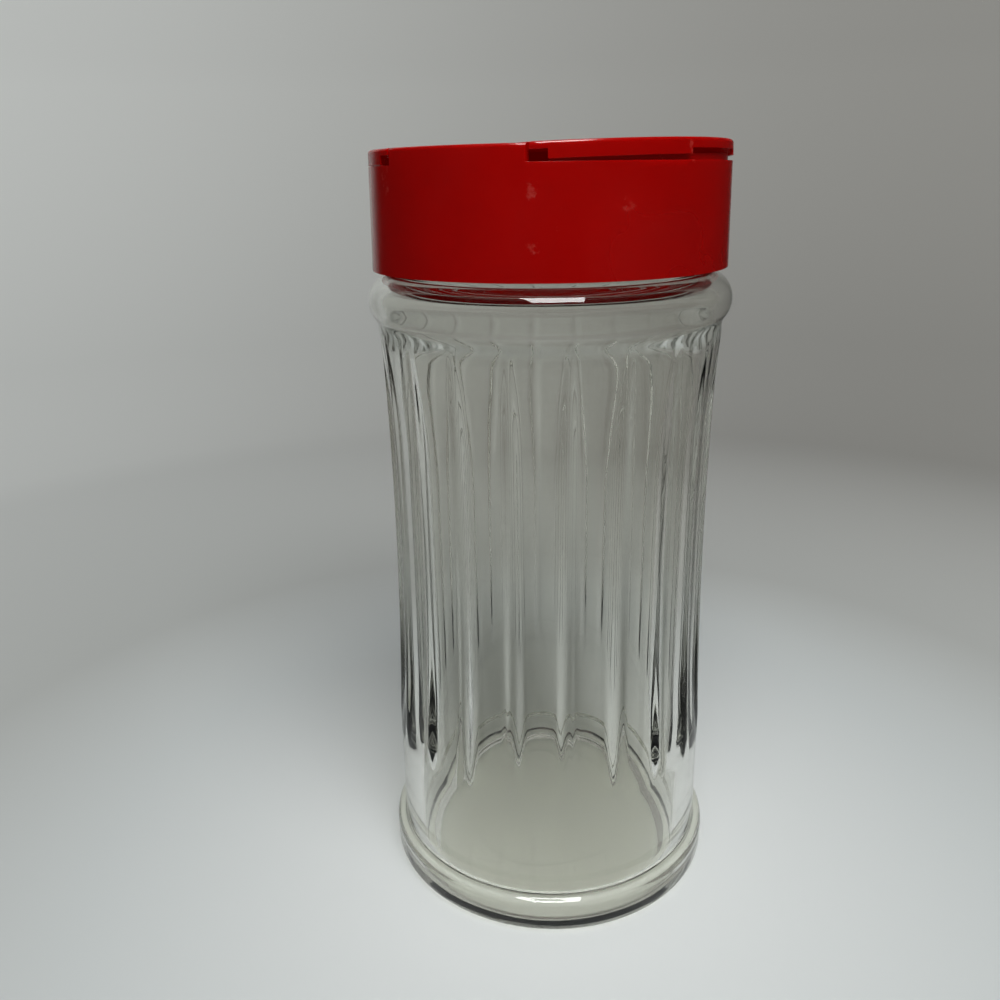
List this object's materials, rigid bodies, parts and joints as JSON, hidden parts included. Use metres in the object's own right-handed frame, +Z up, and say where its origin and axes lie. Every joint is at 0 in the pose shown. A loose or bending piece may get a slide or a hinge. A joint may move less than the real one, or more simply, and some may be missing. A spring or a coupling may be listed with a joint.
{
  "type": "spice shaker dispenser",
  "caption": "Fluted glass spice jar with a screw-on plastic cap, whose two hinged flaps cover shaker holes and a spoon slot.",
  "frame": {"origin": "centre of the jar's base, on the plane that it stands on", "axes": "+Z up along the jar's axis; the flaps' hinge lines run along Y, the spoon flap is at +X and the shaker flap at -X"},
  "size_m": [0.0682, 0.0682, 0.1463],
  "materials": {
    "flint_glass": "clear, fire-polished, with a faint grey-green tint",
    "red_polypropylene": "satin to semi-gloss, injection moulded",
    "red_polyethylene": "soft low-density polyethylene, matt"
  },
  "bodies": {
    "jar": {"glass_jar": "flint_glass"},
    "seal": {"seal_ring": "red_polyethylene"},
    "cap": {"cap_body": "red_polypropylene", "shaker_hinge": "red_polypropylene", "spoon_hinge": "red_polypropylene"},
    "shaker_lid": {"shaker_flap": "red_polypropylene"},
    "spoon_lid": {"spoon_flap": "red_polypropylene"}
  },
  "joints": [
    {"name": "cap_lift", "type": "slide", "parent": "jar", "child": "seal", "axis": [0, 0, 1], "range_m": [0, 0.01693]},
    {"name": "cap_turn", "type": "hinge", "parent": "seal", "child": "cap", "pos_m": [0, 0, 0.1412], "axis": [0, 0, 1], "range_deg": [0, 1440]},
    {"name": "shaker_flap_hinge", "type": "hinge", "parent": "cap", "child": "shaker_lid", "pos_m": [-0.009, 0, 0.14533], "axis": [0, 1, 0], "range_deg": [0, 100], "deforming": ["shaker_hinge"]},
    {"name": "spoon_flap_hinge", "type": "hinge", "parent": "cap", "child": "spoon_lid", "pos_m": [0.009, 0, 0.14533], "axis": [0, -1, 0], "range_deg": [-1.9, 98.1], "deforming": ["spoon_hinge"]}
  ],
  "couplings": [
    {"joint": "cap_lift", "follows": "cap_turn", "m_per_rad": 0.00067322}
  ]
}
